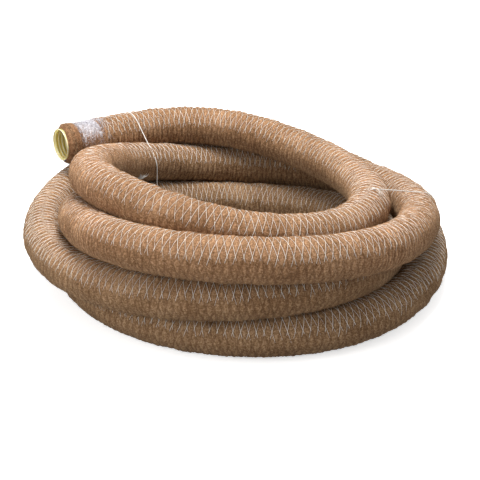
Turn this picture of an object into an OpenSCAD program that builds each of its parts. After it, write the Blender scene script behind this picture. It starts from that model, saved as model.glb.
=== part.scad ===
// Coil of corrugated drain pipe in a coir filter sleeve. Four loose turns lie on the ground, one end open.

/* [Pipe] */
// Outside diameter of the pipe, over the crests of its corrugations
pipe_d = 80; // [60:1:80]
// Height of a corrugation, from its root to its crest
wave_h = 3; // [1.5:0.5:4]
// Distance from one corrugation to the next
wave_pitch = 9; // [7:0.5:12]
// Thickness of the pipe's wall
wall_t = 1; // [0.6:0.1:1.5]
// Length of bare pipe beyond the sleeve at each end
bare_l = 18; // [10:1:30]

/* [Sleeve] */
// Thickness of the coir sleeve on the pipe
sleeve_t = 8; // [4:0.5:8]
// Length of the fleece band near each end
band_l = 62; // [55:1:62]
// Length of sleeve between its cut end and the band
band_gap = 22; // [14:1:22]
// Thickness of the fleece band
band_t = 1; // [0.5:0.1:2]

/* [Ties] */
// Thickness of the tie strings
string_d = 2.5; // [1.5:0.5:4]
// Length of the loose end at each knot
tail_l = 45; // [20:5:60]

/* [Hidden] */

gap = 0.3;              // clearance between one piece and the next
pipe_r = pipe_d / 2;
sleeve_r = pipe_r + sleeve_t;
fine = 96;              // $fn of round parts, which are exact above 12

// ---------------------------------------------------------------- route of the centreline
// The coil runs clockwise from the back, downwards. One row for every turn_step: [radius, height].
turn_step = 45;
coil_rows = [
    [370, 240], [315, 200], [305, 205], [285, 220], [280, 260], [310, 315], [350, 290], [370, 190],
    [395, 115], [415, 140], [420, 170], [405, 225], [384, 257], [386, 247], [370, 188], [360, 85],
    [325, 45], [335, 70], [344, 106], [351, 145], [350, 150], [400, 135], [470, 115], [515, 145],
    [525, 160], [505, 90], [450, 60], [392, 50], [335, 50], [345, 50], [395, 48], [460, 50], [455, 52]
];

// The open end leaves the coil along a straight line: its cut edge, its heading and its rise.
near_end = [-435, 240, 255];
near_heading = 215;
near_rise = 2;
// Distances from the cut edge, along that line, of two more points of the route
lead_steps = [120, 280];
// Length at the open end that is straight and exactly round. It stops under the band.
mouth_l = 72;

near_out = [
    cos(near_heading) * cos(near_rise),
    sin(near_heading) * cos(near_rise),
    sin(near_rise)
];

// A spline point is 2/3 its own control point and 1/6 each neighbour, which pulls a round turn inwards.
pull_in = (2 + cos(turn_step)) / 3;
function coil_point(i) = let (a = 90 - i * turn_step, r = coil_rows[i][0] / pull_in)
    [r * cos(a), r * sin(a), coil_rows[i][1]];

lead_points = [near_end, for (s = lead_steps) near_end - s * near_out];
coil_points = [for (i = [0 : len(coil_rows) - 1]) coil_point(i)];
route = concat(lead_points, coil_points);

// One more control point beyond each end makes the curve start and end on the route's own end points.
last = len(route) - 1;
controls = concat(
    [2 * route[0] - route[1]],
    route,
    [2 * route[last] - route[last - 1]]
);

// Uniform cubic B-spline: span i runs over controls i to i + 3.
function weights(t) = [pow(1 - t, 3), 3 * t * t * t - 6 * t * t + 4, 1 + 3 * t + 3 * t * t - 3 * t * t * t,
    t * t * t] / 6;
function slopes(t) = [-pow(1 - t, 2), 3 * t * t - 4 * t, 1 + 2 * t - 3 * t * t, t * t] / 2;
function mixed(w, i) = w[0] * controls[i] + w[1] * controls[i + 1] + w[2] * controls[i + 2]
    + w[3] * controls[i + 3];
function span_of(u) = min(floor(u), last - 1);
function point_at(u) = mixed(weights(u - span_of(u)), span_of(u));
function heading_at(u) = unit(mixed(slopes(u - span_of(u)), span_of(u)));
function unit(v) = v / norm(v);

// A ring's frame: the point, the level direction across the tube and the one upwards from it.
function frame_at(u) = frame_of(point_at(u), heading_at(u));
function frame_of(p, along) = let (side = unit(cross(along, [0, 0, 1]))) [p, side, cross(side, along)];
function moved_on(frame, along, d) = [frame[0] + d * along, frame[1], frame[2]];

rings_per_span = 3;
sides = 12;
coil_frames = [for (k = [0 : last * rings_per_span]) frame_at(k / rings_per_span)];

// ---------------------------------------------------------------- place of the origin
// The origin is under the middle of the sleeve's box, on the ground that its lowest turn touches.
function ring_points(frame, r) = [
    for (j = [0 : sides - 1])
        frame[0] + r * cos(j * 360 / sides) * frame[1] + r * sin(j * 360 / sides) * frame[2]
];
skin = [for (f = coil_frames) each ring_points(f, sleeve_r)];
skin_x = [for (p = skin) p[0]];
skin_y = [for (p = skin) p[1]];
skin_z = [for (p = skin) p[2]];
origin = [(min(skin_x) + max(skin_x)) / 2, (min(skin_y) + max(skin_y)) / 2, min(skin_z)];

// ---------------------------------------------------------------- shapes
// Tube through a list of frames, open at both ends. Its four walls are outside, inside and two end rims.
module swept_tube(frames, r_out, r_in) {
    n = len(frames);
    outside = [for (f = frames) each ring_points(f, r_out)];
    inside = [for (f = frames) each ring_points(f, r_in)];
    function at(ring, j) = ring * sides + j % sides;
    function wall(shift, flip) = [
        for (k = [0 : n - 2], j = [0 : sides - 1])
            let (q = [at(k, j), at(k, j + 1), at(k + 1, j + 1), at(k + 1, j)] + [1, 1, 1, 1] * shift)
                flip ? [q[3], q[2], q[1], q[0]] : q
    ];
    function rim(ring, flip) = [
        for (j = [0 : sides - 1])
            let (q = [at(ring, j), at(ring, j) + n * sides, at(ring, j + 1) + n * sides, at(ring, j + 1)])
                flip ? [q[3], q[2], q[1], q[0]] : q
    ];
    polyhedron(
        points = concat(outside, inside),
        faces = concat(wall(0, false), wall(n * sides, true), rim(0, false), rim(n - 1, true))
    );
}

// Places a part made along +Z so that its +Z points out of the open end and z = 0 is the sleeve's cut edge.
module at_open_end() {
    translate(near_end - origin)
        rotate([0, 90 - near_rise, near_heading])
            children();
}

// Corrugated wall: a flat crest, a slope, a flat root and a slope in every pitch.
crest_part = 0.34;
slope_part = 0.12;
root_part = 1 - crest_part - 2 * slope_part;
function wave_line(r, z0, count) = [
    for (k = [0 : count - 1], s = [
        [0, 0],
        [crest_part, 0],
        [crest_part + slope_part, wave_h],
        [crest_part + slope_part + root_part, wave_h]
    ])
        [r - s[1], z0 - (k + s[0]) * wave_pitch]
];
wave_count = floor((bare_l + mouth_l) / wave_pitch);
wave_end = bare_l - wave_count * wave_pitch;

module mouth() {
    outer = concat(wave_line(pipe_r, bare_l, wave_count), [[pipe_r, wave_end]]);
    inner = concat(wave_line(pipe_r - wall_t, bare_l, wave_count), [[pipe_r - wall_t, wave_end]]);
    rotate_extrude($fn = fine)
        polygon(concat(outer, [for (i = [len(inner) - 1 : -1 : 0]) inner[i]]));
}

// Frames from where the straight stretch stops, along the coil, to the sleeve's far end.
straight_frames = 3;    // rings of the coil's list that lie within or near that stretch
bend_frames = concat(
    [frame_of(near_end + (wave_end - gap) * near_out, -near_out)],
    [for (k = [straight_frames : len(coil_frames) - 1]) coil_frames[k]]
);
far_frame = coil_frames[len(coil_frames) - 1];
bare_frame = moved_on(far_frame, heading_at(last), bare_l);

// ---------------------------------------------------------------- parts
// The pipe from the straight stretch to its bare far end
module drain_pipe() {
    color([0.86, 0.83, 0.45])
        translate(-origin)
            swept_tube(concat(bend_frames, [bare_frame]), pipe_r, pipe_r - wave_h - wall_t);
}

// The pipe's open end, with its corrugations
module pipe_end() {
    color([0.86, 0.83, 0.45])
        at_open_end()
            mouth();
}

// The sleeve: a round straight stretch, whose seam with the rest is under the near band
module coir_sleeve() {
    color([0.62, 0.45, 0.30]) {
        at_open_end()
            translate([0, 0, wave_end])
                difference() {
                    cylinder(r = sleeve_r, h = -wave_end, $fn = fine);
                    translate([0, 0, -1])
                        cylinder(r = pipe_r + gap, h = 2 - wave_end, $fn = fine);
                }
        translate(-origin)
            swept_tube(bend_frames, sleeve_r, pipe_r + gap);
    }
}

module end_band_near() {
    color([0.88, 0.88, 0.90])
        at_open_end()
            translate([0, 0, -band_gap - band_l])
                difference() {
                    cylinder(r = sleeve_r + gap + band_t, h = band_l, $fn = fine);
                    translate([0, 0, -1])
                        cylinder(r = sleeve_r + gap, h = band_l + 2, $fn = fine);
                }
}

// The far band follows the curve, on its own short list of frames.
far_span = norm(point_at(last) - point_at(last - 1));
far_band_rings = 4;
far_band_frames = [
    for (k = [0 : far_band_rings])
        frame_at(last - (band_gap + band_l * (1 - k / far_band_rings)) / far_span)
];
module end_band_far() {
    color([0.88, 0.88, 0.90])
        translate(-origin)
            swept_tube(far_band_frames, sleeve_r + gap + band_t, sleeve_r + gap);
}

// A tie string lies in an upright plane and goes round two turns of the sleeve.
// The turns are given by their places along the route, and the plane by its heading.
// A slack loop hangs out to a corner, slack away from the middle of its second turn.
module tie(u1, u2, plane_heading, knot_angle, slack = [0, 0]) {
    across = [cos(plane_heading), sin(plane_heading), 0];
    normal = [-sin(plane_heading), cos(plane_heading), 0];
    base = point_at(u1);
    function flat(p) = [(p - base) * across, p[2]];
    function widening(u) = 1 / abs(heading_at(u) * normal);
    module turn_section(u, r) {
        translate(flat(point_at(u)))
            scale([widening(u), 1])
                circle(r = r, $fn = fine / 2);
    }
    module outline(r) {
        hull() {
            turn_section(u1, r);
            turn_section(u2, r);
            translate(flat(point_at(u2)) + slack)
                circle(r = r - sleeve_r, $fn = fine / 2);
        }
    }
    translate([base[0], base[1], 0] - origin)
        rotate([90, 0, plane_heading])
            translate([0, 0, -string_d / 2]) {
                linear_extrude(height = string_d)
                    difference() {
                        outline(sleeve_r + gap + string_d);
                        outline(sleeve_r + gap);
                    }
                knot_at = flat(point_at(u2))
                    + (sleeve_r + gap + string_d) * [cos(knot_angle) * widening(u2), sin(knot_angle)];
                translate([knot_at[0], knot_at[1], string_d / 2])
                    knot(knot_angle);
            }
}

// A small round knot with one loose end that lies along the sleeve.
module knot(angle) {
    sphere(r = 1.4 * string_d, $fn = fine);
    rotate([0, 0, angle])
        rotate([0, 8, 0])
            cylinder(r = string_d / 2, h = tail_l, $fn = fine);
}

module tie_left() {
    color([0.93, 0.93, 0.93])
        tie(1.40, 10.09, -55, -110, [48, -50]);
}

module tie_right() {
    color([0.93, 0.93, 0.93])
        tie(12.97, 5.25, 208, 100);
}

drain_pipe();
pipe_end();
coir_sleeve();
end_band_near();
end_band_far();
tie_left();
tie_right();
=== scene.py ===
import math

import bpy
import numpy as np
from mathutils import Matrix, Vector


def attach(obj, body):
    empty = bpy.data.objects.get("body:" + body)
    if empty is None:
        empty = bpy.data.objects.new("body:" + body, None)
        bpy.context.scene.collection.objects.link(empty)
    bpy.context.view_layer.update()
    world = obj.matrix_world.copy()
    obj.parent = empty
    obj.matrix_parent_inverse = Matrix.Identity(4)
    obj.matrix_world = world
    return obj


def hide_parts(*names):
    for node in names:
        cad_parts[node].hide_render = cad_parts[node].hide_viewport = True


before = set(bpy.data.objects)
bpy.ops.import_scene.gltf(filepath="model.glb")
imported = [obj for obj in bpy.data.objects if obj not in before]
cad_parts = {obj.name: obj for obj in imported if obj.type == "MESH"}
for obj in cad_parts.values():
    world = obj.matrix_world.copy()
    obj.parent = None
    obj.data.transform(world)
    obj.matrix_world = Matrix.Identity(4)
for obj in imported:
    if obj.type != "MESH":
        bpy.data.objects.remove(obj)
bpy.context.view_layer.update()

rng = np.random.default_rng(11)
MM = 0.001
FULL_TURN = 2 * math.pi

# ------------------------------------------------------------------ sizes and route, as in the part (mm)
SLEEVE_R, PIPE_R = 48.0, 40.0
BARE, BAND_GAP, BAND_L = 18.0, 22.0, 62.0
# about the radius and height of the coil's centreline, every TURN_STEP degrees, clockwise from the back
TURN_STEP = 45.0
COIL_ROWS = [
    (370, 240), (315, 200), (305, 205), (285, 220), (280, 260), (310, 315), (350, 290), (370, 190),
    (395, 115), (415, 140), (420, 170), (405, 225), (384, 257), (386, 247), (370, 188), (360, 85),
    (325, 45), (335, 70), (344, 106), (351, 145), (350, 150), (400, 135), (470, 115), (515, 145),
    (525, 160), (505, 90), (450, 60), (392, 50), (335, 50), (345, 50), (395, 48), (460, 50), (455, 52),
]
# the open end, the way it points, and how far behind it the route's next two points lie
NEAR_END = np.array([-435.0, 240.0, 255.0])
HEADING, RISE = math.radians(215), math.radians(2)
NEAR_OUT = np.array([math.cos(HEADING) * math.cos(RISE), math.sin(HEADING) * math.cos(RISE), math.sin(RISE)])
LEAD_STEPS = (120, 280)

# the net: each thread goes once round in NET_PITCH, with NET_COUNT threads each way
NET_PITCH, NET_COUNT = 76.0, 5
NET_LAY = NET_PITCH / NET_COUNT
NET_START = 92.0
# the pipe's corrugations
WAVE, PITCH, WALL = 3.0, 9.0, 1.0
# the route's UV map: u is the length in units of 100 mm, and v runs 0 to 3 once round
UV_LENGTH, UV_ROUND = 100.0, 3.0
# an upper turn's tight bend, where it starts and where it is full: past the middle to the left and to the
# right, above the ground and along the route; the colour goes by one distance for both sides
BEND_LEFT, BEND_RIGHT, BEND_SIDE = (205, 315), (270, 390), (200, 340)
BEND_HEIGHT, BEND_ALONG = (135, 185), (450, 600)

# a smooth curve led by points on a circle runs inside them by this factor, so the rows are pushed out by it
pull_in = (2 + math.cos(math.radians(TURN_STEP))) / 3
route = [NEAR_END] + [NEAR_END - step * NEAR_OUT for step in LEAD_STEPS]
for i, (radius, height) in enumerate(COIL_ROWS):
    turn = math.radians(90 - i * TURN_STEP)
    route.append(np.array([radius / pull_in * math.cos(turn), radius / pull_in * math.sin(turn), height]))
LAST = len(route) - 1
# one more point past each end makes the curve start and stop at the end points
controls = np.array([2 * route[0] - route[1]] + route + [2 * route[-1] - route[-2]])


def unit(vectors):
    return vectors / np.linalg.norm(vectors, axis=-1, keepdims=True)


def spline(u):
    """Points and headings of the centreline at places u, 0 to LAST, before the origin is moved."""
    u = np.atleast_1d(np.asarray(u, float))
    i = np.minimum(np.floor(u).astype(int), LAST - 1)
    t = (u - i)[:, None]
    weights = [(1 - t) ** 3, 3 * t**3 - 6 * t**2 + 4, 1 + 3 * t + 3 * t**2 - 3 * t**3, t**3]
    slopes = [-((1 - t) ** 2), 3 * t**2 - 4 * t, 1 + 2 * t - 3 * t**2, t**2]
    points = sum(weights[k] * controls[i + k] for k in range(4)) / 6
    headings = sum(slopes[k] * controls[i + k] for k in range(4)) / 2
    return points, unit(headings)


def level_frame(headings):
    """For each heading, the level direction across it and the upward one square to both."""
    side = unit(np.cross(headings, [0.0, 0.0, 1.0]))
    return side, np.cross(side, headings)


def tube_points(u, sides, r):
    """Points on a tube of radius r round the centreline, before the origin is moved."""
    points, headings = spline(u)
    side, up = level_frame(headings)
    a = (np.arange(sides) * FULL_TURN / sides)[None, :, None]
    return points[:, None] + r * (np.cos(a) * side[:, None] + np.sin(a) * up[:, None])


# the part's origin is under the middle of the sleeve's box, on the ground
BOX_STEPS, BOX_SIDES = 3, 12
box_points = tube_points(np.arange(LAST * BOX_STEPS + 1) / BOX_STEPS, BOX_SIDES, SLEEVE_R).reshape(-1, 3)
low, high = box_points.min(0), box_points.max(0)
ORIGIN = np.array([(low[0] + high[0]) / 2, (low[1] + high[1]) / 2, low[2]])

# the centreline by its length from the sleeve's cut edge at the open end
FINE_POINTS = 12001
fine_u = np.linspace(0, LAST, FINE_POINTS)
fine_points, _ = spline(fine_u)
fine_s = np.concatenate([[0], np.cumsum(np.linalg.norm(np.diff(fine_points, axis=0), axis=1))])
LENGTH = float(fine_s[-1])


def line_at(s):
    """Points, headings, sides and ups at lengths s (mm); the line goes straight on beyond either end."""
    s = np.atleast_1d(np.asarray(s, float))
    inside = np.clip(s, 0, LENGTH)
    points, headings = spline(np.interp(inside, fine_s, fine_u))
    points = points + (s - inside)[:, None] * headings - ORIGIN
    side, up = level_frame(headings)
    return points, headings, side, up


def place(s, a, r):
    """Points at length s, angle a round the tube and radius r; all arrays of one shape."""
    points, _, side, up = line_at(s.ravel())
    a, r = a.ravel()[:, None], r.ravel()[:, None]
    return points + r * (np.cos(a) * side + np.sin(a) * up)


def skin_axes(s, a):
    """On the tube's skin at s and a: the directions along the tube, outward and round it."""
    _, headings, side, up = line_at(s)
    out = np.cos(a)[:, None] * side + np.sin(a)[:, None] * up
    return headings, out, np.cross(headings, out)


# ------------------------------------------------------------------ camera
CAMERA_AT = (0.0, -2446.0, 1318.0)
CAMERA_DOWN = 26.4

scene = bpy.context.scene
cam_data = bpy.data.cameras.new("camera")
cam_data.lens = 86.0
cam_data.sensor_width = 36.0
cam = bpy.data.objects.new("camera", cam_data)
scene.collection.objects.link(cam)
cam.location = (Vector(CAMERA_AT) - Vector(ORIGIN)) * MM
cam.rotation_euler = (math.radians(90 - CAMERA_DOWN), 0, 0)
scene.camera = cam


# ------------------------------------------------------------------ mesh tools
def new_piece(name, verts, faces, material, uvs=None, values=None):
    """Smooth mesh object from points in mm and a list of face arrays. uvs: one per corner, in face order."""
    mesh = bpy.data.meshes.new(name)
    verts = np.asarray(verts, np.float64) * MM
    mesh.vertices.add(len(verts))
    mesh.vertices.foreach_set("co", verts.astype(np.float32).ravel())
    sizes = np.concatenate([np.full(len(group), group.shape[1]) for group in faces])
    corners = np.concatenate([group.ravel() for group in faces]).astype(np.int32)
    mesh.loops.add(len(corners))
    mesh.loops.foreach_set("vertex_index", corners)
    mesh.polygons.add(len(sizes))
    mesh.polygons.foreach_set("loop_start", (np.cumsum(sizes) - sizes).astype(np.int32))
    mesh.polygons.foreach_set("use_smooth", np.full(len(sizes), True))
    if uvs is not None:
        mesh.uv_layers.new(name="route").data.foreach_set("uv", np.asarray(uvs, np.float32).ravel())
    for key, per_point in (values or {}).items():
        layer = mesh.attributes.new(key, "FLOAT", "POINT")
        layer.data.foreach_set("value", np.asarray(per_point, np.float32).ravel())
    mesh.update(calc_edges=True)
    mesh.validate()
    mesh.materials.append(material)
    piece = bpy.data.objects.new(name, mesh)
    scene.collection.objects.link(piece)
    return piece


def ring_faces(rings, sides, first=0, closed=False):
    """Quads between consecutive rings of the same number of points."""
    k = np.arange(rings if closed else rings - 1)[:, None]
    j = np.arange(sides)[None, :]
    k2, j2 = (k + 1) % rings, (j + 1) % sides
    quads = np.stack([k * sides + j, k * sides + j2, k2 * sides + j2, k2 * sides + j], -1)
    return quads.reshape(-1, 4) + first


def shell_faces(rings, sides):
    """Faces of a tube with a wall: the outer skin, the inner skin after it, and the two rims."""
    inner = rings * sides
    top = (rings - 1) * sides
    j = np.arange(sides)
    j2 = (j + 1) % sides
    return [
        ring_faces(rings, sides),
        ring_faces(rings, sides, inner)[:, ::-1],
        np.stack([j + inner, j2 + inner, j2, j], 1),
        np.stack([top + j, top + j2, top + j2 + inner, top + j + inner], 1),
    ]


HAIR_POINTS = 7


def hairs(base, along, bend, r):
    """Thin three-sided hairs: from base by along, on by along and bend together, and down to a point."""
    n = len(base)
    axis = unit(along)
    x = unit(np.cross(axis, rng.normal(size=(n, 3))))
    y = np.cross(axis, x)
    mid, tip = base + along, base + along + bend
    rows = []
    for centre, scale in ((base, 1.0), (mid, 0.75)):
        for j in range(3):
            a = FULL_TURN * j / 3
            rows.append(centre + (r * scale)[:, None] * (math.cos(a) * x + math.sin(a) * y))
    rows.append(tip)
    verts = np.stack(rows, 1).reshape(-1, 3)
    first = np.arange(n)[:, None] * HAIR_POINTS
    quads = [first + np.array([j, (j + 1) % 3, 3 + (j + 1) % 3, 3 + j]) for j in range(3)]
    points = [first + np.array([3 + j, 3 + (j + 1) % 3, 6]) for j in range(3)]
    root = first + np.array([2, 1, 0])
    return verts, [np.concatenate(quads), np.concatenate(points + [root])]


def carried_axes(headings):
    """Two directions across each heading, carried along the path without twist."""
    seed = np.array([0.0, 0.0, 1.0]) if abs(headings[0][2]) < 0.9 else np.array([1.0, 0.0, 0.0])
    xs = [unit(np.cross(headings[0], seed))]
    for heading in headings[1:]:
        xs.append(unit(xs[-1] - heading * (xs[-1] @ heading)))
    xs = np.array(xs)
    return xs, np.cross(headings, xs)


def tube_along(path, sides, radius, closed=False, lay=0.0, depth=0.0):
    """Tube on a path of points (mm); with a lay it is of two strands that go once round in that length."""
    path = np.asarray(path, float)
    n = len(path)
    steps = np.roll(path, -1, 0) - np.roll(path, 1, 0) if closed else np.gradient(path, axis=0)
    xs, ys = carried_axes(unit(steps))
    run = np.concatenate([[0], np.cumsum(np.linalg.norm(np.diff(path, axis=0), axis=1))])
    twist = FULL_TURN / lay if lay else 0.0
    turn = 0 * run
    if closed:
        # spread out the angle that is left over where the ring closes, and fit whole turns of the strands
        total = run[-1] + np.linalg.norm(path[0] - path[-1])
        turn = -math.atan2(np.dot(xs[-1], ys[0]), np.dot(xs[-1], xs[0])) * run / total
        twist = FULL_TURN * round(twist * total / FULL_TURN) / total
    a = np.arange(sides)[None, :] * FULL_TURN / sides + turn[:, None]
    r = np.broadcast_to(np.asarray(radius, float).reshape(-1, 1), (n, 1))
    if lay:
        r = r * (1 - depth + depth * np.abs(np.cos(a - twist * run[:, None])))
    out = np.cos(a)[..., None] * xs[:, None] + np.sin(a)[..., None] * ys[:, None]
    verts = path[:, None] + r[..., None] * out
    faces = [ring_faces(n, sides, closed=closed)]
    if not closed:
        faces.append(np.array([list(range(sides - 1, -1, -1)), list(range((n - 1) * sides, n * sides))]))
    return verts.reshape(-1, 3), faces


# ------------------------------------------------------------------ shader tools
class Nodes:
    """A node tree, with short ways to add, link and combine its nodes."""

    def __init__(self, tree):
        self.tree = tree

    def add(self, kind, **settings):
        """New node; each setting goes to the input of that name, or else to the node itself."""
        node = self.tree.nodes.new(kind)
        for key, value in settings.items():
            if key in node.inputs.keys():
                node.inputs[key].default_value = value
            else:
                setattr(node, key, value)
        return node

    def feed(self, socket, value):
        """Link an output to the socket, or set the socket to a number, or to a colour without alpha."""
        if isinstance(value, bpy.types.NodeSocket):
            self.tree.links.new(value, socket)
        elif isinstance(value, tuple) and socket.type == "RGBA":
            socket.default_value = (*value, 1)
        else:
            socket.default_value = value

    def fill(self, node, inputs):
        for name, value in inputs.items():
            self.feed(node.inputs[name], value)

    def calc(self, operation, a, b=0.0):
        node = self.add("ShaderNodeMath", operation=operation)
        self.feed(node.inputs[0], a)
        self.feed(node.inputs[1], b)
        return node.outputs[0]

    def plus(self, a, b):
        return self.calc("ADD", a, b)

    def minus(self, a, b):
        return self.calc("SUBTRACT", a, b)

    def times(self, a, b):
        return self.calc("MULTIPLY", a, b)

    def weighted(self, a, share_a, b, share_b):
        return self.plus(self.times(a, share_a), self.times(b, share_b))

    def fade(self, value, start, full, low=0.0, high=1.0, kind="LINEAR"):
        """low up to start, high from full on, and evenly or smoothly between."""
        node = self.add("ShaderNodeMapRange", interpolation_type=kind)
        limits = {"From Min": start, "From Max": full, "To Min": low, "To Max": high}
        self.fill(node, {"Value": value, **limits})
        return node.outputs["Result"]

    def smooth(self, value, start, full, low=0.0, high=1.0):
        return self.fade(value, start, full, low, high, "SMOOTHSTEP")

    def noise(self, source, scale, detail=4.0, rough=0.6, stretch=None):
        """Noise of 0 to 1; a stretch scales the place first, so that it runs in streaks."""
        if stretch:
            mapping = self.add("ShaderNodeMapping", Scale=stretch)
            self.feed(mapping.inputs["Vector"], source)
            source = mapping.outputs["Vector"]
        node = self.add("ShaderNodeTexNoise", Scale=scale, Detail=detail, Roughness=rough)
        self.feed(node.inputs["Vector"], source)
        return node.outputs["Fac"]

    def ramp(self, source, stops):
        node = self.add("ShaderNodeValToRGB")
        elements = node.color_ramp.elements
        while len(elements) < len(stops):
            elements.new(0.5)
        for element, (position, colour) in zip(elements, stops):
            element.position = position
            element.color = (*colour, 1)
        self.feed(node.inputs["Fac"], source)
        return node.outputs["Color"]

    def mix(self, factor, a, b, mode="MIX"):
        """Colour a where the factor is 0 and b where it is 1."""
        node = self.add("ShaderNodeMix", data_type="RGBA", blend_type=mode)
        for name, kind, value in (("Factor", "VALUE", factor), ("A", "RGBA", a), ("B", "RGBA", b)):
            self.feed(next(s for s in node.inputs if s.name == name and s.type == kind), value)
        return next(s for s in node.outputs if s.type == "RGBA")

    def tint(self, colour, by):
        return self.mix(1.0, colour, by, "MULTIPLY")

    def split(self, vector):
        """Outputs X, Y and Z of a vector."""
        node = self.add("ShaderNodeSeparateXYZ")
        self.feed(node.inputs[0], vector)
        return node.outputs

    def attribute(self, name):
        return self.add("ShaderNodeAttribute", attribute_name=name).outputs["Fac"]

    def object_place(self):
        return self.add("ShaderNodeTexCoord").outputs["Object"]

    def route_place(self):
        return self.add("ShaderNodeUVMap", uv_map="route").outputs["UV"]

    def bump(self, height, strength, distance):
        node = self.add("ShaderNodeBump", Strength=strength, Distance=distance)
        self.feed(node.inputs["Height"], height)
        return node.outputs["Normal"]


def new_material(name):
    """A material, its nodes and its surface node."""
    material = bpy.data.materials.new(name)
    material.use_nodes = True
    return material, Nodes(material.node_tree), material.node_tree.nodes["Principled BSDF"]


# ------------------------------------------------------------------ materials
COIR_DARK, COIR_MID, COIR_LIGHT = (0.090, 0.043, 0.018), (0.268, 0.152, 0.076), (0.555, 0.362, 0.214)
# the dark coir colour laid as painted shade in the grooves and between the ripples
COIR_PAINTED_SHADE = (0.090, 0.036, 0.012)
# tints for the turns near the ground and for the upper ones
LOW_TINT, HIGH_TINT = (0.97, 0.99, 0.99), (1.08, 1.0, 0.97)
# lightens the coir on the tight bends as painted light
BEND_PAINTED_LIGHT = (1.22, 1.20, 1.22)
STAIN = (0.66, 0.60, 0.56)
UNCHANGED = (1.0, 1.0, 1.0)
FLEECE_STOPS = [(0.36, (0.40, 0.36, 0.40)), (0.50, (0.68, 0.68, 0.74)), (0.60, (0.90, 0.91, 0.96))]


def coir_colour(nodes, route_uv, at):
    """Coir's colour, of pale and dark fibres that lie every way in soft patches, and the fibres' shade."""
    streak_a = nodes.noise(route_uv, 44.0, 4.0, 0.75, (1.0, 0.22, 1.0))
    streak_b = nodes.noise(route_uv, 52.0, 4.0, 0.75, (0.22, 1.0, 1.0))
    grain = nodes.noise(at, 260.0, 3.0, 0.78)
    patch = nodes.noise(at, 14.0, 3.0, 0.55)
    streaks = nodes.times(nodes.plus(streak_a, streak_b), 0.5)
    fibre = nodes.weighted(streaks, 0.45, grain, 0.55)
    shade = nodes.weighted(fibre, 0.86, patch, 0.14)
    colour = nodes.ramp(shade, [(0.39, COIR_DARK), (0.49, COIR_MID), (0.59, COIR_LIGHT)])
    # the turns near the ground are a little cooler in colour, the upper ones more orange
    higher = nodes.smooth(nodes.split(at)["Z"], 0.10, 0.30)
    return nodes.tint(colour, nodes.mix(higher, LOW_TINT, HIGH_TINT)), fibre


def net_groove(nodes, u, v, wander):
    """1 along the lines where the net's threads press in, 0 beside them."""
    grooves = []
    for sign in (1, -1):
        along = nodes.times(u, UV_LENGTH * NET_COUNT / NET_PITCH)
        around = nodes.times(nodes.minus(nodes.calc("DIVIDE", v, UV_ROUND), 0.25), sign * NET_COUNT)
        phase = nodes.plus(nodes.minus(along, around), nodes.times(wander, 0.12))
        # the whole number keeps the phase above 0, and ping-pong turns it into the distance to a thread
        distance = nodes.calc("PINGPONG", nodes.plus(phase, 2000.0), 0.5)
        grooves.append(nodes.smooth(distance, 0.0, 0.26, 1.0, 0.0))
    return nodes.calc("MAXIMUM", *grooves)


def upper_bend(nodes, u, at):
    """1 where an upper turn bends tightly round an end of the coil, much as bend_share() has it."""
    where = nodes.split(at)
    bend = nodes.smooth(nodes.calc("ABSOLUTE", where["X"]), *(mm * MM for mm in BEND_SIDE))
    bend = nodes.times(bend, nodes.fade(where["Z"], *(mm * MM for mm in BEND_HEIGHT)))
    return nodes.times(bend, nodes.fade(u, *(mm / UV_LENGTH for mm in BEND_ALONG)))


def make_coir(name):
    material, nodes, surface_node = new_material(name)
    route_uv, at = nodes.route_place(), nodes.object_place()
    colour, fibre = coir_colour(nodes, route_uv, at)
    route_xy = nodes.split(route_uv)
    u, v = route_xy["X"], route_xy["Y"]
    wander = nodes.minus(nodes.noise(at, 60.0, 2.0), 0.5)
    bend = upper_bend(nodes, u, at)
    # the net covers all but the ends, and lies looser on the tight bends
    net_from, net_to = NET_START / UV_LENGTH, LENGTH / UV_LENGTH - NET_START / UV_LENGTH
    netted = nodes.times(nodes.calc("GREATER_THAN", u, net_from), nodes.calc("LESS_THAN", u, net_to))
    netted = nodes.times(netted, nodes.minus(1.0, nodes.times(bend, 0.5)))
    groove = nodes.times(net_groove(nodes, u, v, wander), netted)
    # ripples over the pipe's corrugations, strongest towards the inside of the coil and on the tight bends
    waves = nodes.times(u, FULL_TURN * UV_LENGTH / PITCH)
    wave = nodes.calc("COSINE", nodes.plus(waves, nodes.times(wander, 3.5)))
    inward = nodes.calc("SINE", nodes.times(v, FULL_TURN / UV_ROUND))
    strength = nodes.calc("MAXIMUM", nodes.plus(nodes.times(inward, 0.35), 0.65), bend)
    ripple = nodes.times(nodes.times(wave, strength), 0.5)
    # painted shade: darker in the grooves and between the ripples, more so on the tight bends
    between = nodes.times(nodes.minus(0.42, ripple), nodes.plus(nodes.times(bend, 0.30), 0.34))
    colour = nodes.mix(nodes.plus(nodes.times(groove, 0.38), between), colour, COIR_PAINTED_SHADE)
    # painted light: lighter where the tube bends tightly; handled and stained towards the open end
    colour = nodes.tint(colour, nodes.mix(bend, UNCHANGED, BEND_PAINTED_LIGHT))
    colour = nodes.tint(colour, nodes.mix(nodes.smooth(u, 0.4, 1.1), STAIN, UNCHANGED))
    height = nodes.minus(nodes.weighted(fibre, 3.2, ripple, 1.5), nodes.times(groove, 1.3))
    nodes.fill(surface_node, {
        "Base Color": colour,
        "Normal": nodes.bump(height, 1.0, 0.001),
        "Roughness": nodes.fade(fibre, 0.0, 1.0, 0.98, 0.78),
        "Specular IOR Level": 0.15,
        "Sheen Weight": 0.12,
        "Sheen Roughness": 0.6,
        "Sheen Tint": (0.95, 0.72, 0.48),
    })
    return material


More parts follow.
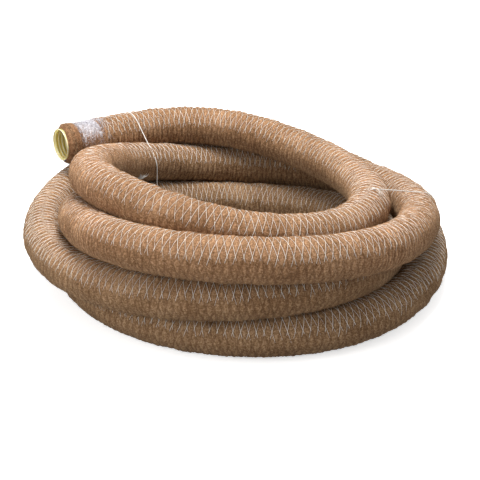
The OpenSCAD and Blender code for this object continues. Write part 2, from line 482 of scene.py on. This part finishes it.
def make_hair(name, dark, light):
    """Loose fibres, each with a tone of its own."""
    material, nodes, surface_node = new_material(name)
    wave = nodes.noise(nodes.object_place(), 160.0, 2.0)
    tone = nodes.weighted(nodes.attribute("tone"), 0.7, wave, 0.3)
    nodes.fill(surface_node, {
        "Base Color": nodes.ramp(tone, [(0.15, dark), (0.85, light)]),
        "Roughness": 0.6,
        "Specular IOR Level": 0.3,
    })
    return material


def make_thread(name):
    """Net thread, glossy: coir brown where it faces down and white where it faces up, a painted highlight of
    the light from above with painted shade below.
    """
    material, nodes, surface_node = new_material(name)
    highlight_noise = nodes.noise(nodes.object_place(), 130.0, 4.0)
    # painted highlight and shade: how far the thread faces up, with noise along the edge between them
    highlight_share = nodes.plus(nodes.attribute("lift"), nodes.times(nodes.minus(highlight_noise, 0.5), 0.9))
    nodes.fill(surface_node, {
        "Base Color": nodes.mix(nodes.smooth(highlight_share, -0.35, 0.35), (0.30, 0.19, 0.11), (0.88, 0.84, 0.78)),
        "Roughness": 0.35,
        "Specular IOR Level": 0.5,
    })
    return material


def make_fleece(name):
    """White fleece, thick on top and thin enough below for the coir to show through."""
    material, nodes, surface_node = new_material(name)
    route_uv, at = nodes.route_place(), nodes.object_place()
    brown, _ = coir_colour(nodes, route_uv, at)
    web_a = nodes.noise(route_uv, 30.0, 5.0, 0.75, (1.0, 0.28, 1.0))
    web_b = nodes.noise(route_uv, 26.0, 5.0, 0.75, (0.40, 1.0, 1.0))
    web = nodes.times(nodes.plus(web_a, web_b), 0.5)
    cloud = nodes.noise(at, 55.0, 4.0, 0.6)
    thick = nodes.plus(nodes.attribute("lift"), nodes.times(nodes.minus(cloud, 0.5), 1.4))
    thick = nodes.plus(thick, nodes.times(nodes.minus(web, 0.5), 3.2))
    cover = nodes.fade(thick, 0.25, 1.15)
    nodes.fill(surface_node, {
        "Base Color": nodes.mix(cover, nodes.tint(brown, STAIN), nodes.ramp(web, FLEECE_STOPS)),
        "Normal": nodes.bump(web, 0.7, 0.0012),
        "Roughness": 0.92,
        "Sheen Weight": 0.4,
        "Specular IOR Level": 0.15,
    })
    return material


def make_pvc(name):
    """Yellow pipe plastic, a little translucent, paler on the cut lip, with a painted highlight on the inner
    ridges.
    """
    material, nodes, surface_node = new_material(name)
    at = nodes.object_place()
    body = nodes.ramp(nodes.noise(at, 38.0, 4.0), [(0.30, (0.86, 0.66, 0.130)), (0.70, (0.93, 0.76, 0.25))])
    scuff = nodes.noise(at, 340.0, 3.0, 0.7)
    nodes.fill(surface_node, {
        "Base Color": nodes.mix(nodes.attribute("edge"), body, (0.93, 0.88, 0.66)),
        "Normal": nodes.bump(scuff, 0.15, 0.0004),
        "Roughness": nodes.fade(scuff, 0.0, 1.0, 0.22, 0.48),
        "Subsurface Weight": 0.35,
        "Subsurface Radius": (0.008, 0.006, 0.002),
        "Subsurface Scale": 1.0,
    })
    return material


def make_string(name):
    """White twisted string with a rough, fuzzy skin."""
    material, nodes, surface_node = new_material(name)
    fuzz = nodes.noise(nodes.object_place(), 700.0, 3.0, 0.7)
    nodes.fill(surface_node, {
        "Base Color": nodes.ramp(fuzz, [(0.30, (0.62, 0.60, 0.57)), (0.65, (0.93, 0.92, 0.90))]),
        "Normal": nodes.bump(fuzz, 0.5, 0.0004),
        "Roughness": 0.7,
    })
    return material


coir = make_coir("coir_mat")
coir_hair = make_hair("coir_fibre", (0.13, 0.065, 0.028), (0.66, 0.43, 0.24))
net_thread = make_thread("net_thread")
fleece = make_fleece("fleece")
fleece_hair = make_hair("fleece_fibre", (0.34, 0.30, 0.34), (0.92, 0.92, 0.97))
pvc = make_pvc("pvc_yellow")
tie_string = make_string("tie_string")

# ------------------------------------------------------------------ the sleeve's surface
# each lump is a wave: its size in mm, times round the tube, turn per mm along it, and phase
LUMPS = [
    (rng.uniform(0.12, 0.34), rng.integers(0, 7), FULL_TURN / rng.uniform(26, 110), rng.uniform(0, FULL_TURN))
    for _ in range(26)
]
BANDS = [(BAND_GAP, BAND_GAP + BAND_L), (LENGTH - BAND_GAP - BAND_L, LENGTH - BAND_GAP)]
COIR_PROUD = 0.9
GROOVE_W, GROOVE_DEPTH, BETWEEN_GROOVES = 2.9, 1.9, 0.5
LUMP_SHARE = 0.8
RIPPLE_LEAST, RIPPLE_MORE = 0.06, 0.50
BAND_SQUEEZE, SQUEEZE_UNEVEN = 1.9, 0.6
# beside a band, towards the coil and towards the cut: how high, how far past the edge, and how wide
COIL_BULGE, OPEN_BULGE = (1.9, 7, 6), (0.9, 10, 8)


def lumps_at(s, a):
    return sum(size * np.cos(times * a + rate * s + phase) for size, times, rate, phase in LUMPS)


def smooth_box(s, start, end, soft):
    """1 between start and end, 0 outside."""
    return 1 / (1 + np.exp(-(s - start) / soft)) / (1 + np.exp((s - end) / soft))


def groove_depth(s, a, sign):
    """1 on the nearest thread of one direction, falling to 0 beside it."""
    x = (s - sign * a / FULL_TURN * NET_PITCH) / NET_LAY
    distance = np.abs(x - np.round(x)) * NET_LAY
    return np.exp(-((distance / GROOVE_W) ** 2))


def rise(x, start, full):
    """0 up to start, 1 from full on, and evenly between."""
    return np.clip((x - start) / (full - start), 0, 1)


def bend_share(s):
    """1 where an upper turn bends tightly round an end of the coil, 0 along its sides."""
    x, _, z = np.moveaxis(line_at(s.ravel())[0].reshape(*s.shape, 3), -1, 0)
    at_end = np.maximum(rise(-x, *BEND_LEFT), rise(x, *BEND_RIGHT))
    return at_end * rise(z, *BEND_HEIGHT) * rise(s, *BEND_ALONG)


def bulge(s, edge, way, high, off, wide):
    """A swelling of the coir beside a band's edge, in the direction of way (1 or -1)."""
    return high * np.exp(-(((s - edge - off * way) / wide) ** 2))


def surface(s, a):
    """Radius of the coir: quilted by the net, lumpy, rippled by the pipe and pressed in under the bands."""
    groove = np.maximum(groove_depth(s, a, 1), groove_depth(s, a, -1))
    lumps = lumps_at(s, a)
    inner = np.clip(0.5 + 0.5 * np.cos(a), 0, 1)
    bend = bend_share(s)
    ripple = (RIPPLE_LEAST + RIPPLE_MORE * np.maximum(inner**2, bend)) * np.cos(FULL_TURN * s / PITCH)
    netted = smooth_box(s, NET_START, LENGTH - NET_START, 4.0)
    quilt = (BETWEEN_GROOVES - GROOVE_DEPTH * groove) * netted * (1 - 0.5 * bend)
    r = SLEEVE_R + COIR_PROUD + quilt + LUMP_SHARE * lumps + ripple
    # each band squeezes the coir, which bulges beside it; side is 1 where the coil lies past the band
    for (start, end), side in zip(BANDS, (1, -1)):
        squeeze = BAND_SQUEEZE + SQUEEZE_UNEVEN * np.clip(lumps, -1, 1)
        coil_edge, open_edge = (end, start) if side > 0 else (start, end)
        r = r - squeeze * smooth_box(s, start, end, 2.0)
        r = r + bulge(s, coil_edge, side, *COIL_BULGE)
        r = r + bulge(s, open_edge, -side, *OPEN_BULGE)
    return r


# ------------------------------------------------------------------ the coir sleeve
FIRST_ANGLE = -math.pi / 2
SLEEVE_STEP, SLEEVE_SIDES = 2.0, 44
NEAR_SLANT = 6.5
# the cut ends go down to the pipe in rings: change of radius, and distance out past the edge
NEAR_CUT = ((-1.0, 2.0), (-3.2, 4.8), (-6.2, 7.2), (-8.5, 8.5))
FAR_CUT = ((-1.2, 1.6), (-3.6, 2.6), (-6.2, 1.4), (-7.4, -2.0))
CUT_UV = np.array([0.5, 1.0, 1.5, 2.0])
GROUND_GAP = 0.3


def ragged_cut(profile, edge_s, edge_r, angles, out):
    """Rings of a cut end, uneven as torn fibre is; out is the way past the edge, 1 or -1."""
    rings = []
    for deeper, further in profile:
        ragged = rng.normal(0, 0.7, SLEEVE_SIDES)
        ring_s = edge_s + out * (further + ragged)
        rings.append(place(ring_s, angles, edge_r + deeper + rng.normal(0, 0.25, SLEEVE_SIDES)))
    return rings


def make_sleeve():
    """The coir all along the route, with its two cut ends."""
    ring_count = int(LENGTH // SLEEVE_STEP) + 1
    ring_s = np.linspace(0, LENGTH, ring_count)
    angles = FIRST_ANGLE + np.arange(SLEEVE_SIDES) * FULL_TURN / SLEEVE_SIDES
    s, a = np.meshgrid(ring_s, angles, indexing="ij")
    # the near cut is slanted: the sleeve reaches closer to the pipe's lip in front and underneath
    slant = NEAR_SLANT * np.clip(0.5 - 0.2 * np.sin(angles) + 0.5 * np.cos(angles), 0, 1)
    s = s - slant[None] * np.exp(-s / 9.0)
    r = surface(s, a) + rng.normal(0, 0.20, s.shape)
    near = ragged_cut(NEAR_CUT, s[0], r[0], angles, -1)
    far = ragged_cut(FAR_CUT, s[-1], r[-1], angles, 1)
    verts = np.concatenate([*near[::-1], place(s, a, r), *far])
    verts[:, 2] = np.maximum(verts[:, 2], GROUND_GAP)
    uv_s = np.concatenate([-CUT_UV[::-1], ring_s, LENGTH + CUT_UV])
    k, j = np.indices((len(uv_s) - 1, SLEEVE_SIDES))
    corners = [
        np.stack([uv_s[k + dk] / UV_LENGTH, (j + dj) / SLEEVE_SIDES * UV_ROUND], -1)
        for dk, dj in ((0, 0), (0, 1), (1, 1), (1, 0))
    ]
    uvs = np.stack(corners, 2).reshape(-1, 2)
    piece = new_piece("coir_sleeve_mat", verts, [ring_faces(len(uv_s), SLEEVE_SIDES)], coir, uvs=uvs)
    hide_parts("coir_sleeve")
    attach(piece, "root")
    return piece


sleeve = make_sleeve()


# ------------------------------------------------------------------ the net
THREAD_STEP = 2.05
# the first thread starts and stops this far from the near and far cuts, and each next one further in
THREAD_FROM, THREAD_TO, THREAD_STAGGER = 86.0, 84.0, 3
THREAD_HALF_H, THREAD_HALF_W = 0.5, 0.37
# how far a thread's middle lies above the coir, and how much lower where coir covers it and on a tight bend
THREAD_PROUD, THREAD_COVERED, THREAD_BEND = 0.40, 1.6, 0.35


def make_thread_piece(i, sign):
    """Thread i of one direction: it lies on the coir where that faces up, and sinks into it elsewhere."""
    s = np.arange(THREAD_FROM + THREAD_STAGGER * i, LENGTH - THREAD_TO - THREAD_STAGGER * i, THREAD_STEP)
    a = sign * FULL_TURN * (s / NET_PITCH - i / NET_COUNT)
    wander = np.interp(s, s[::6], rng.normal(0, 1, len(s[::6])))
    covered = 1 / (1 + np.exp((np.sin(a) - 0.30 + 0.11 * wander) / 0.045))
    bend = bend_share(s)
    waver = 0.18 * np.sin(s / 7.0 + i) * np.sin(s / 3.1)
    centre = place(s, a, surface(s, a) + THREAD_PROUD + waver - THREAD_COVERED * covered - THREAD_BEND * bend)
    _, out, _ = skin_axes(s, a)
    across = unit(np.cross(unit(np.gradient(centre, axis=0)), out))
    half_w = (THREAD_HALF_W + 0.08 * np.sin(s / 5.3 + 2 * i)) * (1 - 0.40 * bend)
    wide, thick = half_w[:, None] * across, THREAD_HALF_H * out
    verts = np.stack([centre + wide, centre + thick, centre - wide, centre - thick], 1)
    n = len(s)
    faces = [ring_faces(n, 4), np.array([[3, 2, 1, 0], [4 * n - 4, 4 * n - 3, 4 * n - 2, 4 * n - 1]])]
    # lift is how far the coir faces up here, less on a tight bend; the thread material paints its highlight
    # and shade by it
    lift = np.repeat(out[:, 2] - 0.75 * bend, 4)
    name = f"net_thread_{'right' if sign > 0 else 'left'}_{i + 1}"
    piece = new_piece(name, verts.reshape(-1, 3), faces, net_thread, values={"lift": lift})
    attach(piece, "root")
    return piece


net = [make_thread_piece(i, sign) for sign in (1, -1) for i in range(NET_COUNT)]

# ------------------------------------------------------------------ loose coir fibres
FIBRE_COUNT = 18500
FIBRE_LENGTHS, FIBRE_RADII = (2.6, 7.0), (0.15, 0.30)


def make_coir_fibres(name, scale):
    """Fibres that stray from the coir all along the sleeve, a few more of them at the near cut."""
    n, at_cut = FIBRE_COUNT, FIBRE_COUNT // 40
    s = rng.uniform(0, LENGTH, n)
    s[:at_cut] = rng.uniform(-1, 5, at_cut)
    a = rng.uniform(-math.pi, math.pi, n)
    heading, out, around = skin_axes(s, a)
    turn = rng.uniform(0, FULL_TURN, n)
    flat = np.cos(turn)[:, None] * heading + np.sin(turn)[:, None] * around
    base = place(s, a, surface(s, a) - 0.4)
    length = rng.uniform(*FIBRE_LENGTHS, n) * scale
    rise = rng.uniform(0.02, 0.42, n) ** 1.3
    first = flat * length[:, None] + out * (rise * length)[:, None]
    second = flat * (length * 0.8)[:, None] + out * (length * rng.uniform(-0.25, 0.30, n))[:, None]
    aside = around * (length * rng.normal(0, 0.35, n))[:, None]
    second += aside + heading * (length * rng.normal(0, 0.35, n))[:, None]
    verts, faces = hairs(base, first, second, rng.uniform(*FIBRE_RADII, n))
    tone = np.repeat(rng.uniform(0, 1, n), HAIR_POINTS).reshape(-1, HAIR_POINTS)
    # drop the few hairs that would touch the ground, and number the others again
    verts = verts.reshape(-1, HAIR_POINTS, 3)
    keep = verts[..., 2].min(1) > GROUND_GAP
    number = np.cumsum(keep) - 1
    faces = [group[keep[group[:, 0] // HAIR_POINTS]] for group in faces]
    faces = [number[group // HAIR_POINTS] * HAIR_POINTS + group % HAIR_POINTS for group in faces]
    piece = new_piece(name, verts[keep].reshape(-1, 3), faces, coir_hair, values={"tone": tone[keep]})
    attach(piece, "root")
    return piece


fuzz = [make_coir_fibres("coir_fibres_short", 1.0), make_coir_fibres("coir_fibres_long", 1.45)]


# ------------------------------------------------------------------ fleece bands
BAND_RINGS, BAND_SIDES = 37, 96
BAND_THICK = 1.15
WISP_COUNT = 3600
WISP_LENGTHS, WISP_RADII, WISP_SPREAD = (2.5, 6.5), (0.12, 0.26), 0.66


def make_band(name, node, start, end):
    """One strip of fleece, once round the sleeve, with uneven edges."""
    angles = FIRST_ANGLE + np.arange(BAND_SIDES) * FULL_TURN / BAND_SIDES

    def uneven(amount):
        slow = 0.5 * np.sin(3 * angles + rng.uniform(0, 6))
        quick = 0.35 * np.sin(7 * angles + rng.uniform(0, 6))
        return amount * (slow + quick + 0.5 * rng.normal(0, 1, BAND_SIDES))

    first = start + 2.5 * np.sin(angles) + uneven(1.3)
    final = end + 1.5 * np.sin(angles) + uneven(1.6)
    t = np.linspace(0, 1, BAND_RINGS)[:, None]
    s = first[None] + (final - first)[None] * t
    a = np.broadcast_to(angles[None], s.shape)
    under = SLEEVE_R - 1.55 + 0.15 * lumps_at(s, a)
    over = under + BAND_THICK + 0.25 * rng.normal(0, 1, s.shape)
    over -= 0.6 * (np.abs(t - 0.5) * 2) ** 8
    verts = np.concatenate([place(s, a, over), place(s, a, under - 0.2)])
    faces = shell_faces(BAND_RINGS, BAND_SIDES)
    corners = np.concatenate([group.ravel() for group in faces])
    point_s = np.tile(s.ravel(), 2)
    point_side = np.tile(np.arange(BAND_SIDES), 2 * BAND_RINGS)
    uvs = np.stack([point_s[corners] / UV_LENGTH, point_side[corners] / BAND_SIDES * UV_ROUND], -1)
    lift = np.tile(np.sin(a).ravel(), 2)
    piece = new_piece(name, verts, faces, fleece, uvs=uvs, values={"lift": lift})
    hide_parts(node)
    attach(piece, "root")
    return piece


def make_wisps(name, start, end, stray_from, stray_way):
    """Wisps of fleece that lie on the band and stray past its edge on the coil's side."""
    n, stray = WISP_COUNT, WISP_COUNT // 8
    s = rng.uniform(start - 3, end + 4, n)
    s[:stray] = stray_from + stray_way * rng.exponential(9, stray)
    a = rng.normal(math.pi / 2, WISP_SPREAD, n)
    heading, out, around = skin_axes(s, a)
    turn = rng.uniform(0, FULL_TURN, n)
    flat = np.cos(turn)[:, None] * heading + np.sin(turn)[:, None] * around
    on_band = (s > start) & (s < end)
    base = place(s, a, np.where(on_band, SLEEVE_R - 0.45, surface(s, a) + 0.05))
    length = rng.uniform(*WISP_LENGTHS, n)
    first = flat * length[:, None] + out * (length * rng.uniform(-0.02, 0.14, n))[:, None]
    second = flat * (length * 0.8)[:, None] + around * (length * rng.normal(0, 0.4, n))[:, None]
    second -= out * (length * 0.05)[:, None]
    verts, faces = hairs(base, first, second, rng.uniform(*WISP_RADII, n))
    tone = np.repeat(rng.uniform(0, 1, n), HAIR_POINTS)
    piece = new_piece(name, verts, faces, fleece_hair, values={"tone": tone})
    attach(piece, "root")
    return piece


near_start, near_end = BANDS[0]
far_start, far_end = BANDS[1]
near_band = make_band("fleece_band_near", "end_band_near", near_start, near_end)
near_wisps = make_wisps("fleece_band_near_wisps", near_start, near_end, near_end, 1)
far_band = make_band("fleece_band_far", "end_band_far", far_start, far_end)
far_wisps = make_wisps("fleece_band_far_wisps", far_start, far_end, far_start, -1)

# ------------------------------------------------------------------ the pipe
PIPE_SIDES, PIPE_STEP = 56, 0.9
WAVES_NEAR, WAVES_FAR = 110.0, 60.0
PLAIN_RINGS = 330


def corrugated(s, end):
    """Outside radius along the corrugations, counted from the pipe's own end."""
    x = np.mod(np.abs(s - end) / PITCH + 0.06, 1.0)
    crest = 1 / (1 + np.exp(-x / 0.02)) / (1 + np.exp((x - 0.46) / 0.03))
    crest = np.maximum(crest, 1 / (1 + np.exp(-(x - 1.0) / 0.02)))
    return PIPE_R - WAVE * (1 - np.clip(2 * crest - 0.5 * (x < 0.03), 0, 1))


def make_pipe():
    """The pipe: corrugated at both ends, and plain between, where it is never seen."""
    near_s = np.arange(-BARE, WAVES_NEAR, PIPE_STEP)
    far_s = np.arange(LENGTH - WAVES_FAR, LENGTH + BARE + 0.01, PIPE_STEP)
    plain_s = np.linspace(near_s[-1], far_s[0], PLAIN_RINGS)[1:-1]
    ring_s = np.concatenate([near_s, plain_s, far_s])
    plain_r = np.full(len(plain_s), PIPE_R - WAVE / 2)
    ring_r = np.concatenate([corrugated(near_s, -BARE), plain_r, corrugated(far_s, LENGTH + BARE)])
    s, a = np.meshgrid(ring_s, FIRST_ANGLE + np.arange(PIPE_SIDES) * FULL_TURN / PIPE_SIDES, indexing="ij")
    r = np.broadcast_to(ring_r[:, None], s.shape)
    verts = np.concatenate([place(s, a, r), place(s, a, r - WALL)])
    # edge is 1 on the cut lip, which is paler, and half of that on the ridges that stand into the bore, as a
    # painted highlight
    from_end = np.minimum(ring_s + BARE, LENGTH + BARE - ring_s)
    ridge = np.clip((PIPE_R - WAVE - ring_r + 1.4) / 1.4, 0, 1) * (from_end < 60)
    edge = np.tile(np.repeat(np.maximum(np.exp(-from_end / 3.0), 0.50 * ridge), PIPE_SIDES), 2)
    faces = shell_faces(len(ring_s), PIPE_SIDES)
    piece = new_piece("corrugated_pipe", verts, faces, pvc, values={"edge": edge})
    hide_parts("drain_pipe", "pipe_end")
    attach(piece, "root")
    return piece


pipe = make_pipe()

# ------------------------------------------------------------------ tie strings
STRING_R, STRING_LAY, STRING_DEPTH = 1.15, 7.0, 0.35
LOOP_STEP, CORNER_R = 1.2, 1.5
KNOT_R, KNOT_LAY, KNOT_DEPTH, KNOT_SCALE, KNOT_PROUD = 0.95, 6.0, 0.3, 0.95, 1.2
TAIL_POINTS, STRAND_POINTS = 26, 9


def hull(points):
    """The outline of a taut string round points in a plane."""
    points = sorted(map(tuple, points))

    def half(sequence):
        kept = []
        for p in sequence:
            while len(kept) > 1:
                (ax, ay), (bx, by) = kept[-2], kept[-1]
                if (bx - ax) * (p[1] - ay) - (by - ay) * (p[0] - ax) > 0:
                    break
                kept.pop()
            kept.append(p)
        return kept[:-1]

    return np.array(half(points) + half(points[::-1]))


def even_ring(points, step):
    """A closed outline's points, set about one step apart."""
    points = np.vstack([points, points[:1]])
    run = np.concatenate([[0], np.cumsum(np.linalg.norm(np.diff(points, axis=0), axis=1))])
    t = np.linspace(0, run[-1], int(run[-1] / step) + 1)[:-1]
    return np.stack([np.interp(t, run, points[:, column]) for column in range(2)], 1)


def join(parts):
    verts, faces, shift = [], [], 0
    for part_verts, part_faces in parts:
        verts.append(part_verts)
        faces += [group + shift for group in part_faces]
        shift += len(part_verts)
    return np.concatenate(verts), faces


def tie_plane(turns, heading):
    """A tie's upright plane: its directions across and square to it, and the way from it into space."""
    angle = math.radians(heading)
    across = np.array([math.cos(angle), math.sin(angle), 0])
    normal = np.array([-math.sin(angle), math.cos(angle), 0])
    base = spline(turns[0])[0][0]

    def in_space(flat):
        level = np.array([base[0], base[1], 0]) + flat[:, :1] * across
        return level + np.stack([0 * flat[:, 0], 0 * flat[:, 0], flat[:, 1]], 1) - ORIGIN

    def section(u):
        """Where the plane cuts a turn: the centre in the plane, and how much wider than high the cut is."""
        (point,), (direction,) = spline(u)
        return np.array([(point - base) @ across, point[2]]), 1 / abs(direction @ normal)

    return across, normal, in_space, section


def tie_loop(circles, normal, in_space):
    """The string pulled taut round circles in its plane, each a centre, a half width and a half height."""
    phi = np.linspace(0, FULL_TURN, 181)[:-1]
    outlines = [np.stack([c[0] + half_w * np.cos(phi), c[1] + half_h * np.sin(phi)], 1)
                for c, half_w, half_h in circles]
    ring = even_ring(hull(np.concatenate(outlines)), LOOP_STEP)
    path = in_space(ring) + normal * (0.5 * np.sin(np.arange(len(ring)) / 17.0))[:, None]
    return tube_along(path, 10, STRING_R, closed=True, lay=STRING_LAY, depth=STRING_DEPTH)


def tie_knot(spot, along, normal, out):
    """A trefoil knot of the same string, pulled tight."""
    t = np.linspace(0, FULL_TURN, 91)[:-1]
    path = spot + (
        ((2 + np.cos(3 * t)) * np.cos(2 * t))[:, None] * along
        + ((2 + np.cos(3 * t)) * np.sin(2 * t))[:, None] * normal
        + (1.1 * np.sin(3 * t))[:, None] * out
    ) * KNOT_SCALE
    return tube_along(path, 8, KNOT_R, closed=True, lay=KNOT_LAY, depth=KNOT_DEPTH)


def drawn_end(start, end):
    """Path of a loose end drawn round a turn, between two places, each a length and an angle in degrees."""
    (start_s, start_a), (end_s, end_a) = start, end
    t = np.linspace(0, 1, TAIL_POINTS)
    r = SLEEVE_R + 2.4 + 0.6 * np.sin(9 * t)
    return place(start_s + (end_s - start_s) * t, np.radians(start_a + (end_a - start_a) * t), r)


def free_end(spot, along, normal, out, length):
    """Path of a loose end that stands off from the knot."""
    t = np.linspace(0, 1, TAIL_POINTS)[:, None]
    sag = out * (1.2 + 5.0 * t * (1 - t)) + along * (2.5 * np.sin(2.6 * t))
    return spot + normal * length * t + sag


def frayed(tail, count, upright_at=None):
    """The strands of a loose end: they fray apart, or stand up against the side of the turn at a place."""
    tip, direction = tail[-1], unit(tail[-1] - tail[-3])
    x = np.linspace(0, 1, STRAND_POINTS)
    parts = []
    for _ in range(count):
        spread = rng.normal(0, 0.42, 3)
        length = rng.uniform(9, 18)
        curl = np.cross(direction, rng.normal(size=3))
        if upright_at:
            thick = 1.7
            s, a = upright_at
            strand_a = np.radians(a + (7 + 1.2 * length) * x + 8 * spread[1] * x * x)
            strand = place(s + 22 * spread[0] * x, strand_a, SLEEVE_R + 2.6 + (3.0 + 4 * spread[2]) * x)
        else:
            thick = 1.0
            straight = tip - direction + (direction + spread) * length * x[:, None]
            strand = straight + curl * (length * 0.25) * x[:, None] * x[:, None]
        parts.append(tube_along(strand, 4, thick * np.linspace(0.28, 0.12, STRAND_POINTS)))
    return parts


def tie(name, node, turns, heading, knot_angle, slack, strands, tail_length=0.0, drawn=None):
    """String tied round two turns of the coil in an upright plane, with a knot and a frayed loose end.

    turns are the two places on the route, in its steps, and heading is the plane's. slack is how far a
    loose corner hangs out from the second turn, which has the knot. The loose end stands off by
    tail_length, or is drawn round the turn between two places.
    """
    across, normal, in_space, section = tie_plane(turns, heading)
    r = SLEEVE_R + COIR_PROUD
    sections = [section(u) for u in turns]
    centre, wide = sections[1]
    circles = [(c, r * w, r) for c, w in sections] + [(centre + slack, CORNER_R, CORNER_R)]
    out_x, out_z = math.cos(math.radians(knot_angle)), math.sin(math.radians(knot_angle))
    knot_r = r + KNOT_PROUD
    spot = in_space(np.array([[centre[0] + knot_r * wide * out_x, centre[1] + knot_r * out_z]]))[0]
    out = out_x * across + np.array([0, 0, out_z])
    along = -out_z * across + np.array([0, 0, out_x])
    tail = drawn_end(*drawn) if drawn else free_end(spot, along, normal, out, tail_length)
    verts, faces = join([
        tie_loop(circles, normal, in_space),
        tie_knot(spot, along, normal, out),
        tube_along(tail, 8, np.linspace(1.0, 0.8, TAIL_POINTS), lay=STRING_LAY, depth=STRING_DEPTH),
        *frayed(tail, strands, drawn[1] if drawn else None),
    ])
    piece = new_piece(name, verts, faces, tie_string)
    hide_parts(node)
    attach(piece, "root")
    return piece


left = tie(
    "tie_string_left", "tie_left", turns=(1.40, 10.09), heading=-55, knot_angle=-110, slack=(48, -50),
    strands=44, drawn=((2307, -111.6), (2232, -51)),
)
right = tie(
    "tie_string_right", "tie_right", turns=(12.97, 5.25), heading=208, knot_angle=100, slack=(0, 0),
    strands=10, tail_length=22,
)

# ------------------------------------------------------------------ the coil's centreline, as points in metres
PATH_POINTS = 400

path_points = line_at(np.linspace(0, LENGTH, PATH_POINTS))[0] * MM
start, _, start_side, _ = line_at(0.0)
[tuple(p) for p in path_points]

# ------------------------------------------------------------------ floor, background and lights
FLOOR_HALF = 30.0
FLOOR_SEEN, FLOOR_THROWN = [(0.3, (0.90, 0.90, 0.90)), (0.7, (0.93, 0.93, 0.93))], (0.36, 0.35, 0.34)
FLOOR_GLOW = 0.62
SEEN = "Is Camera Ray"


def make_floor():
    """The ground: it is seen pale, and throws back little light on the coil."""
    mesh = bpy.data.meshes.new("floor")
    corners = [(x * FLOOR_HALF, y * FLOOR_HALF, 0) for x, y in ((-1, -1), (1, -1), (1, 1), (-1, 1))]
    mesh.from_pydata(corners, [], [(0, 1, 2, 3)])
    material, nodes, surface_node = new_material("floor_pale")
    pale = nodes.ramp(nodes.noise(nodes.object_place(), 3.0, 2.0), FLOOR_SEEN)
    seen = nodes.add("ShaderNodeLightPath").outputs[SEEN]
    nodes.fill(surface_node, {
        "Base Color": nodes.mix(seen, FLOOR_THROWN, pale),
        "Emission Color": (1, 1, 1),
        "Emission Strength": nodes.times(seen, FLOOR_GLOW),
        "Roughness": 1.0,
        "Specular IOR Level": 0.0,
    })
    mesh.materials.append(material)
    floor = bpy.data.objects.new("floor", mesh)
    scene.collection.objects.link(floor)
    floor.visible_glossy = False
    return floor


def make_world():
    """A dome that is dark at the horizon and white overhead, seen as plain white."""
    world = bpy.data.worlds.new("studio")
    scene.world = world
    world.use_nodes = True
    world.node_tree.nodes.clear()
    nodes = Nodes(world.node_tree)
    height = nodes.split(nodes.add("ShaderNodeTexCoord").outputs["Generated"])["Z"]
    sky = nodes.ramp(height, [(0.0, (0.30, 0.29, 0.28)), (0.9, (1.0, 1.0, 1.0))])
    dome = nodes.add("ShaderNodeBackground", Strength=0.75)
    nodes.feed(dome.inputs["Color"], sky)
    plain = nodes.add("ShaderNodeBackground", Color=(1, 1, 1, 1), Strength=1.15)
    mixer = nodes.add("ShaderNodeMixShader")
    nodes.feed(mixer.inputs["Fac"], nodes.add("ShaderNodeLightPath").outputs[SEEN])
    nodes.feed(mixer.inputs[1], dome.outputs[0])
    nodes.feed(mixer.inputs[2], plain.outputs[0])
    nodes.feed(nodes.add("ShaderNodeOutputWorld").inputs["Surface"], mixer.outputs[0])


def make_light(name, at, target, size, power, colour):
    """A round soft light, aimed at a point (metres, watts)."""
    data = bpy.data.lights.new(name, "AREA")
    data.shape = "DISK"
    data.size = size
    data.energy = power
    data.color = colour
    light = bpy.data.objects.new(name, data)
    light.location = at
    light.rotation_euler = (Vector(target) - Vector(at)).to_track_quat("-Z", "Y").to_euler()
    scene.collection.objects.link(light)


make_floor()
make_world()
make_light("key", (-0.10, 0.10, 2.55), (0, 0, 0.1), 1.4, 80, (1.0, 0.985, 0.96))
make_light("fill_left", (-2.3, -1.7, 1.3), (0, 0, 0.2), 1.4, 31, (1.0, 0.99, 0.97))
make_light("fill_low", (0.35, -2.6, 0.45), (0, 0, 0.12), 1.2, 8, (0.96, 0.98, 1.0))

scene.view_settings.view_transform = "Standard"
scene.view_settings.look = "None"
